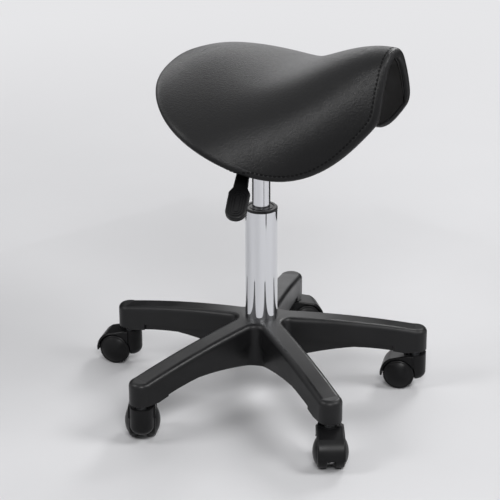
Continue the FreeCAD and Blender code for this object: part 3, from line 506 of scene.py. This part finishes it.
flank_length = SEAT_FRONT + SEAT_REAR - REAR_FLAT
flank_ahead = -SEAT_REAR + REAR_FLAT + flank_length * (1 - np.linspace(0, 1, FLANK_STEPS) ** 2)
flank = np.stack([flank_ahead, half_girth(flank_ahead)], -1)
half_outline = np.vstack([[[SEAT_FRONT, 0.0]], flank, [[-SEAT_REAR + REAR_FLAT, 0.0]]])
outline = np.vstack([half_outline, half_outline[-2:0:-1] * (1, -1)])
outline, around = walked(outline, COLUMNS)
offsets = np.arange(COLUMNS)
distance = np.minimum(offsets, COLUMNS - offsets) * around / COLUMNS
weights = np.exp(-0.5 * (distance / CORNER_SOFTNESS) ** 2)
weights /= weights.sum()
spectrum = np.fft.fft(weights)[:, None]
outline = np.real(np.fft.ifft(np.fft.fft(outline, axis=0) * spectrum, axis=0))
heading = np.roll(outline, -1, axis=0) - np.roll(outline, 1, axis=0)
heading /= np.linalg.norm(heading, axis=1)[:, None]
inward = np.stack([-heading[:, 1], heading[:, 0]], -1)
print("outline", round(around), "mm round, seam steps of", round(around / COLUMNS, 1), "mm")

# %% [markdown]
# The pad is one closed form, made as a potter coils a pot: a ring of points starts on the ridge of the
# saddle, is extruded outwards loop by loop over the top, down into the sewn seam, round the rolled rim and
# back under the foam to the ridge. Each extrusion is placed on the form above. The seam lies 9 mm from
# the rim along the front and the flaps, where the thread pulls the leatherette down. Towards the rear it
# runs off over the rim, and there the rim is rounder, because the cover is only stretched and stapled.

# %% Loops of the pad
SEAM_INSET, SEAM_DEPTH, SEAM_HALF_WIDTH = 9.0, 0.25, 1.3
SEAM_STARTS, SEAM_ENDS = 95.0, 15.0
BAND_SWELL, WRAP = 0.3, 1.5
FLAT_INSET = 30.0
ROLL_INSET, REAR_ROLL, UNDER_ROLL = 7.5, 13.0, 8.0
# Powers of the rolled rim's section: nearly a circle above, and squarer below.
TOP_FULLNESS, UNDER_FULLNESS = 2 / 2.2, 2 / 3.2
RIDGE_REAR, RIDGE_FRONT = -92.0, 172.0
FOAM_TAPER = 3


def eased(value, low, high):
    """0 below low and 1 above high, with a soft start and stop between them."""
    share = np.clip((value - low) / (high - low), 0, 1)
    return share * share * (3 - 2 * share)


seam_share = eased(outline[:, 0], SEAM_ENDS, SEAM_STARTS)
top_roll = REAR_ROLL + (ROLL_INSET - REAR_ROLL) * seam_share


def middle_share(ahead, along):
    """1 in the middle of the seat, where the foam is thickest, and 0 all round its edge."""
    lengthwise = np.abs(2 * (ahead + SEAT_REAR) / (SEAT_REAR + SEAT_FRONT) - 1)
    sideways = np.abs(along) / np.maximum(half_girth(ahead), LEAST_GIRTH)
    return np.clip(1 - lengthwise ** FOAM_TAPER, 0, 1) * np.clip(1 - sideways ** FOAM_TAPER, 0, 1)


def inside(inset):
    """The flat outline, drawn in by an inset from the outermost line of the wrapped edge."""
    return outline + inward * (np.broadcast_to(inset, COLUMNS)[:, None] - WRAP)


def towards_ridge(share):
    """The innermost flat loop, moved by a share of its way to the ridge line of the saddle."""
    rim = inside(FLAT_INSET)
    ridge_ahead = np.clip(rim[:, 0], RIDGE_REAR, RIDGE_FRONT)
    ridge = np.stack([ridge_ahead, np.zeros(COLUMNS)], -1)
    return rim + (ridge - rim) * share


def loop_at(flat, depth):
    """A loop of the flat layout, put on the saddle at a depth under its skin."""
    return on_seat(flat[:, 0], flat[:, 1], np.broadcast_to(depth, COLUMNS))


def under_foam(flat):
    """Depth of the foam's underside."""
    return FOAM_UNDER + (FOAM_MIDDLE - FOAM_EDGE) * middle_share(flat[:, 0], flat[:, 1])


RIDGE_STEPS, ROLL_STEPS, UNDER_STEPS = 30, 14, 14
TOP_INSETS = (30, 25, 21, 17.5, 14.6, 12.4, 11, 10.1, 9.5, 9, 8.5, 8)
# The lip under the rim, as inset and depth, and then the way up between the shell's edge and the cover.
LIP_LOOPS = ((LIP_WIDTH, LIP_TOP), (3.0, LIP_TOP), (1.8, LIP_TOP - 2), (1.8, FOAM_UNDER + 1))
UNDER_INSETS = (3.0, 8.0, 15.0, FLAT_INSET)
loops = [loop_at(towards_ridge(1 - index / RIDGE_STEPS), 0.0) for index in range(RIDGE_STEPS)]
seam_row = len(loops) + TOP_INSETS.index(SEAM_INSET)
for inset in TOP_INSETS:
    seam = SEAM_DEPTH * math.exp(-((inset - SEAM_INSET) / SEAM_HALF_WIDTH) ** 2)
    band = BAND_SWELL * eased(inset, SEAM_INSET, ROLL_INSET)
    drawn_in = FLAT_INSET - (FLAT_INSET - top_roll) * (FLAT_INSET - inset) / (FLAT_INSET - ROLL_INSET)
    loops.append(loop_at(inside(drawn_in), (seam - band) * seam_share))
half_edge = EDGE_THICKNESS / 2
for index in range(ROLL_STEPS + 1):
    angle = math.pi * index / ROLL_STEPS
    roll, fullness = (top_roll, TOP_FULLNESS) if angle < math.pi / 2 else (UNDER_ROLL, UNDER_FULLNESS)
    out, over = math.sin(angle) ** fullness, abs(math.cos(angle)) ** fullness
    over = math.copysign(over, math.cos(angle))
    depth = half_edge * (1 - over) - BAND_SWELL * seam_share * max(0, over)
    loops.append(loop_at(inside(roll * (1 - out)), depth))
rim_row = len(loops) - 1
for inset, depth in LIP_LOOPS:
    loops.append(loop_at(inside(inset + WRAP), depth))
for inset in UNDER_INSETS:
    loops.append(loop_at(inside(inset), under_foam(inside(inset))))
for index in range(1, UNDER_STEPS + 1):
    flat = towards_ridge(index / UNDER_STEPS)
    loops.append(loop_at(flat, under_foam(flat)))
print("loops", len(loops), "seam row", seam_row)

# %% [markdown]
# The mesh grows from a circle of edges, as by hand: extrude, place the new ring, extrude again. Each point
# remembers its column and its row, so the seam can be found again later, when the foam has moved it.
# The last ring meets the first one along the ridge, and merging the points there closes the form.

# %% Extrude the loops into a mesh
START_RADIUS = 0.1
MERGE_DISTANCE = 0.02 * MM


def coiled(name, loops):
    """A mesh made from a ring of points that is extruded once for each loop after the first."""
    count = len(loops[0])
    deselect()
    bpy.ops.mesh.primitive_circle_add(vertices=count, radius=START_RADIUS, fill_type="NOTHING")
    piece = bpy.context.object
    piece.name = name
    bpy.ops.object.mode_set(mode="EDIT")
    mesh = bmesh.from_edit_mesh(piece.data)
    column = mesh.verts.layers.int.new("column")
    mesh.verts.layers.int.new("row")
    mesh.verts.ensure_lookup_table()
    for index, vertex in enumerate(mesh.verts):
        vertex[column] = index
        vertex.co = loops[0][index]
        vertex.select = True
    mesh.select_flush(True)
    bmesh.update_edit_mesh(piece.data)
    for number, loop in enumerate(loops[1:], start=1):
        bpy.ops.mesh.extrude_edges_indiv()
        mesh = bmesh.from_edit_mesh(piece.data)
        column = mesh.verts.layers.int["column"]
        row = mesh.verts.layers.int["row"]
        for vertex in mesh.verts:
            if vertex.select:
                vertex.co = loop[vertex[column]]
                vertex[row] = number
        bmesh.update_edit_mesh(piece.data)
    bpy.ops.object.mode_set(mode="OBJECT")
    return piece


def closed_up(piece):
    """Merge the points that meet and turn all faces outwards."""
    bpy.ops.object.mode_set(mode="EDIT")
    bpy.ops.mesh.select_all(action="SELECT")
    bpy.ops.mesh.remove_doubles(threshold=MERGE_DISTANCE)
    bpy.ops.mesh.normals_make_consistent(inside=False)
    bpy.ops.object.mode_set(mode="OBJECT")
    bpy.ops.object.shade_smooth()


pad = coiled("saddle_pad", loops)
closed_up(pad)
print("pad points", len(pad.data.vertices), "faces", len(pad.data.polygons))

# %% [markdown]
# A drawn shape is still a hard shape. Cloth with a little pressure lets the leatherette swell over its foam:
# the seam, the rim and the underside are held, as the thread and the staples hold them, and everything
# else may rise by at most 2 mm. The swollen shape is then applied, so the piece is a plain mesh again.

# %% Let the foam swell
SWELL_CAP = 2.0 * MM
SWELL_FRAMES = 20
HELD_INSET = 12.4
PRESSURE, SKIN_MASS, SOLVER_STEPS = 4.0, 0.4, 6
STRETCH_STIFFNESS, SHEAR_STIFFNESS, BEND_STIFFNESS = 40, 20, 20
TINY = 1e-9


def rows_of(piece):
    """The row of each point of a coiled piece."""
    rows = np.zeros(len(piece.data.vertices), np.int32)
    piece.data.attributes["row"].data.foreach_get("value", rows)
    return rows


def places_of(piece):
    """The place of each point of a piece, in metres."""
    places = np.zeros(len(piece.data.vertices) * 3, np.float32)
    piece.data.vertices.foreach_get("co", places)
    return places.reshape(-1, 3)


def swell(piece, free_rows):
    """Blow the piece up from inside; rows after the free ones are held, and no point moves past the cap."""
    before = places_of(piece).copy()
    held = piece.vertex_groups.new(name="held")
    rows = rows_of(piece)
    held.add([int(i) for i in np.nonzero(rows > free_rows)[0]], 1.0, "REPLACE")
    cloth = piece.modifiers.new("leatherette", "CLOTH")
    cloth.settings.vertex_group_mass = "held"
    cloth.settings.use_pressure = True
    cloth.settings.uniform_pressure_force = PRESSURE
    cloth.settings.quality = SOLVER_STEPS
    cloth.settings.mass = SKIN_MASS
    cloth.settings.tension_stiffness = cloth.settings.compression_stiffness = STRETCH_STIFFNESS
    cloth.settings.shear_stiffness = SHEAR_STIFFNESS
    cloth.settings.bending_stiffness = BEND_STIFFNESS
    cloth.settings.effector_weights.gravity = 0
    cloth.point_cache.frame_start, cloth.point_cache.frame_end = 1, SWELL_FRAMES
    scene = bpy.context.scene
    for number in range(1, SWELL_FRAMES + 1):
        scene.frame_set(number)
    bpy.ops.object.modifier_apply(modifier=cloth.name)
    scene.frame_set(1)
    moved = places_of(piece) - before
    reach = np.linalg.norm(moved, axis=1)
    moved *= np.minimum(1, SWELL_CAP / np.maximum(reach, TINY))[:, None]
    piece.data.vertices.foreach_set("co", (before + moved).astype(np.float32).ravel())
    piece.data.update()
    piece.vertex_groups.clear()
    print("swell: most", round(reach.max() / MM, 2), "mm before the cap")


swell(pad, TOP_INSETS.index(HELD_INSET) + RIDGE_STEPS)

# %% [markdown]
# The cover is embossed PVC leatherette: a pebble grain of cells about half a millimetre wide. That is too
# fine to show here, so the cells are drawn at 2.6 mm, with a crackle of 1 mm inside them.
# To the eye it is satin black with a soft sheen: the grain breaks up the highlight on the flap and hides in
# the shade. A picture of leather would need unwrapping. Cells in space need none, and never stretch.

# %% Leatherette
GRAIN_MM, CRACKLE_MM, STRETCH_MM = 2.6, 1.0, 90
PEBBLE_HEIGHT = 0.3 * MM
RELIEF_LOW, RELIEF_HIGH = 0.4, 1.2
GLOSS_LOW, GLOSS_HIGH = 0.28, 0.42
STRETCH_LOW, STRETCH_HIGH = 0.3, 0.75
leatherette, tree, shader, place = finish(
    "embossed_leatherette", IOR=PLASTIC_IOR, Specular_IOR_Level=0.24,
)
pebble = add(tree, "ShaderNodeTexVoronoi", {
    "Vector": place, "Scale": per_metre(GRAIN_MM),
}, feature="SMOOTH_F1")
crackle = add(tree, "ShaderNodeTexNoise", {"Vector": place, "Scale": per_metre(CRACKLE_MM), "Detail": 3.0})
relief = add(tree, "ShaderNodeMath", {
    0: pebble.outputs["Distance"], 1: crackle.outputs["Fac"],
}, operation="ADD")
bump = add(tree, "ShaderNodeBump", {"Height": relief.outputs[0], "Strength": 1.0, "Distance": PEBBLE_HEIGHT})
tree.links.new(bump.outputs["Normal"], shader.inputs["Normal"])
stretch = add(tree, "ShaderNodeTexNoise", {"Vector": place, "Scale": per_metre(STRETCH_MM), "Detail": 2.0})
tone = add(tree, "ShaderNodeValToRGB", {"Fac": stretch.outputs["Fac"]})
dark, light = tone.color_ramp.elements
dark.position, light.position = STRETCH_LOW, STRETCH_HIGH
dark.color, light.color = linear("#070708"), linear("#0B0B0C")
tree.links.new(tone.outputs["Color"], shader.inputs["Base Color"])
gloss = add(tree, "ShaderNodeMapRange", {
    "Value": relief.outputs[0], "From Min": RELIEF_LOW, "From Max": RELIEF_HIGH,
    "To Min": GLOSS_LOW, "To Max": GLOSS_HIGH,
})
tree.links.new(gloss.outputs["Result"], shader.inputs["Roughness"])
pad.data.materials.append(leatherette)
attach(pad, "seat")
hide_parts("seat_cover", "seat_edge_band", "seat_foam")
print("leatherette: pebbles of", GRAIN_MM, "mm, crackle of", CRACKLE_MM, "mm")

# %% [markdown]
# The seam is topstitched with black thread, one stitch every 6.6 mm. Its line is read back from the swollen
# pad, so that the thread lies on the leatherette wherever the foam has moved it. Towards the rear the line
# runs off over the rim, as the seam does.

# %% Seam line on the finished pad
STITCH_PITCH = 6.6 * MM
LAST_ROW_MARGIN = 1e-6


def seam_line(piece):
    """Places and normals along the seam, from one end of it round the front to the other."""
    columns = np.zeros(len(piece.data.vertices), np.int32)
    piece.data.attributes["column"].data.foreach_get("value", columns)
    rows, places = rows_of(piece), places_of(piece)
    grid = np.zeros((rim_row + 1, COLUMNS), int)
    shown = (rows >= seam_row) & (rows <= rim_row)
    grid[rows[shown], columns[shown]] = np.nonzero(shown)[0]
    normals = np.zeros(places.size, np.float32)
    piece.data.vertex_normals.foreach_get("vector", normals)
    row = seam_row + (rim_row - seam_row) * (1 - seam_share)
    row = np.minimum(row, rim_row - LAST_ROW_MARGIN)
    low, share = row.astype(int), (row % 1)[:, None]
    order = np.arange(COLUMNS)
    first, second = grid[low, order], grid[low + 1, order]
    normals = normals.reshape(-1, 3)
    line = places[first] * (1 - share) + places[second] * share
    line_normals = normals[first] * (1 - share) + normals[second] * share
    chain = np.roll(order, COLUMNS // 2)
    chain = chain[seam_share[chain] > 0]
    return line[chain], line_normals[chain]


def spaced(places, normals, pitch):
    """Even steps along a line: places, directions and normals."""
    lengths = np.r_[0, np.cumsum(np.linalg.norm(np.diff(places, axis=0), axis=1))]
    steps = np.arange(pitch, lengths[-1] - pitch, pitch)

    def read(values, at):
        return np.stack([np.interp(at, lengths, values[:, k]) for k in range(3)], -1)

    ahead = read(places, steps + pitch / 4) - read(places, steps - pitch / 4)
    return read(places, steps), ahead, read(normals, steps), lengths[-1]


def stand(place, ahead, up):
    """Matrix that puts a small piece's X along the seam and its Z out of the leatherette."""
    x = Vector(ahead).normalized()
    z = Vector(up).normalized()
    y = z.cross(x).normalized()
    z = x.cross(y)
    matrix = Matrix((x, y, z)).transposed().to_4x4()
    matrix.translation = Vector(place)
    return matrix


def copies(name, model, matrices):
    """One object made of copies of a small model, each moved by its matrix."""
    made = []
    for matrix in matrices:
        copy = bpy.data.objects.new(name, model.data.copy())
        copy.data.transform(matrix)
        bpy.context.scene.collection.objects.link(copy)
        made.append(copy)
    bpy.data.objects.remove(model)
    deselect()
    for copy in made:
        copy.select_set(True)
    bpy.context.view_layer.objects.active = made[0]
    bpy.ops.object.join()
    joined = bpy.context.object
    joined.name = name
    return joined


middles, aheads, ups, seam_length = spaced(*seam_line(pad), STITCH_PITCH)
print("seam", round(seam_length, 3), "m,", len(middles), "stitches")

# %% [markdown]
# Each stitch is a short bowed thread that dives into the leatherette at both ends. One is modelled, from a
# thin cylinder that is laid down, cut across three times and bent by moving its points, and then copied
# along the seam. A curve with a bevel would do as well, but its many faces would add up over the seam.

# %% One stitch, then all of them
THREAD_RADIUS, STITCH_LENGTH, STITCH_BOW = 0.55 * MM, 3.6 * MM, 0.4 * MM
THREAD_SIDES = 6
STITCH_CUTS = (-0.65, 0.0, 0.65)
MIDDLE_RISE, END_DIVE = 0.35, 1.9
deselect()
bpy.ops.mesh.primitive_cylinder_add(
    vertices=THREAD_SIDES, radius=THREAD_RADIUS, depth=STITCH_LENGTH, end_fill_type="NGON",
)
stitch = bpy.context.object
bpy.ops.object.mode_set(mode="EDIT")
bpy.ops.mesh.select_all(action="SELECT")
bpy.ops.transform.rotate(value=math.pi / 2, orient_axis="Y", center_override=(0, 0, 0))
for cut in STITCH_CUTS:
    bpy.ops.mesh.select_all(action="SELECT")
    bpy.ops.mesh.bisect(plane_co=(cut * STITCH_LENGTH / 2, 0, 0), plane_no=(1, 0, 0))
bpy.ops.object.mode_set(mode="OBJECT")
for vertex in stitch.data.vertices:
    reach = abs(vertex.co.x) / (STITCH_LENGTH / 2)
    vertex.co.z += STITCH_BOW * (MIDDLE_RISE - END_DIVE * reach ** 2)
bpy.ops.object.shade_smooth()
seats_of_stitches = [stand(*place) for place in zip(middles, aheads, ups)]
stitching = copies("saddle_stitching", stitch, seats_of_stitches)
# Bonded polyester thread: black and dull, a shade lighter than the slot that it lies in.
TWIST_MM = 0.6
thread, tree, shader, place = finish("bonded_polyester_thread", Roughness=0.55, Specular_IOR_Level=0.2)
twist = add(tree, "ShaderNodeTexNoise", {"Vector": place, "Scale": per_metre(TWIST_MM), "Detail": 1.0})
tone = add(tree, "ShaderNodeValToRGB", {"Fac": twist.outputs["Fac"]})
dark, light = tone.color_ramp.elements
dark.color, light.color = linear("#060607"), linear("#0D0D0E")
tree.links.new(tone.outputs["Color"], shader.inputs["Base Color"])
stitching.data.materials.append(thread)
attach(stitching, "seat")
print("stitching faces:", len(stitching.data.polygons))

# %% [markdown]
# The needle pulls a small dark slot into the leatherette under each stitch, and from a step away the eye
# sees these slots before it sees the thread. Cutting them into the pad would need a far finer mesh there.
# A shallow dish does it with a few faces: a flat cylinder with its top inset and sunk, coloured near black
# as painted shade for the shadow inside the slot.

# %% Needle slots under the stitches
HOLE_LENGTH, HOLE_WIDTH, HOLE_HEIGHT, HOLE_RISE = 4.2 * MM, 2.6 * MM, 1.2 * MM, 0.42 * MM
HOLE_WALL, HOLE_SINK = 0.3 * MM, 0.2 * MM
HOLE_SIDES = 10
PIT_MM = 1.0
deselect()
bpy.ops.mesh.primitive_cylinder_add(vertices=HOLE_SIDES, radius=0.5, depth=1, end_fill_type="NGON")
hole = bpy.context.object
bpy.ops.object.mode_set(mode="EDIT")
bpy.ops.mesh.select_all(action="SELECT")
bpy.ops.transform.resize(value=(HOLE_LENGTH, HOLE_WIDTH, HOLE_HEIGHT))
bpy.ops.transform.translate(value=(0, 0, HOLE_RISE - HOLE_HEIGHT / 2))
bpy.ops.mesh.select_all(action="DESELECT")
mesh = bmesh.from_edit_mesh(hole.data)
top = max(mesh.faces, key=lambda face: face.calc_center_median().z)
top.select_set(True)
bmesh.update_edit_mesh(hole.data)
bpy.ops.mesh.inset(thickness=HOLE_WALL, depth=-HOLE_SINK)
bpy.ops.object.mode_set(mode="OBJECT")
holes = copies("stitch_holes", hole, seats_of_stitches)
# Painted shade in the slot: the darkest tone of the seat, without any gloss, standing in for the shadow
# inside the needle hole.
shade, tree, shader, place = finish("needle_hole_painted_shade", Roughness=0.9, Specular_IOR_Level=0.05)
pit = add(tree, "ShaderNodeTexNoise", {"Vector": place, "Scale": per_metre(PIT_MM)})
tone = add(tree, "ShaderNodeValToRGB", {"Fac": pit.outputs["Fac"]})
dark, light = tone.color_ramp.elements
dark.color, light.color = linear("#030303"), linear("#080808")
tree.links.new(tone.outputs["Color"], shader.inputs["Base Color"])
holes.data.materials.append(shade)
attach(holes, "seat")
print("needle slots:", len(seats_of_stitches), "with", len(holes.data.polygons), "faces")

# %% [markdown]
# Where the folded leatherette meets the moulded cover underneath, a thin welt hides the cut edge. From
# the front it is the fine bright line just inside the rim. A curve with a round bevel would be quicker, but
# the loops of the outline are there already, so the welt is coiled from them, round its own cord.

# %% Welt along the fold
WELT_RADIUS, WELT_INSET, WELT_DROP = 1.1, 6.9, 0.2
WELT_STEPS = 8
WELT_DEPTH = EDGE_THICKNESS + WELT_DROP
welt_loops = []
for index in range(WELT_STEPS + 1):
    angle = 2 * math.pi * index / WELT_STEPS
    flat = inside(WRAP + WELT_INSET + WELT_RADIUS * math.cos(angle))
    welt_loops.append(loop_at(flat, WELT_DEPTH + WELT_RADIUS * math.sin(angle)))
welt = coiled("saddle_welt", welt_loops)
closed_up(welt)
# Vinyl of the welt: glossier than the leatherette, and a little paler as a painted highlight, so it draws a
# fine bright line.
welt_vinyl_painted_highlight = moulded("welt_vinyl_painted_highlight", "#1A1A1B", "#232324", 0.35, 1.6, 0.15)
welt.data.materials.append(welt_vinyl_painted_highlight)
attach(welt, "seat")
print("welt faces:", len(welt.data.polygons))
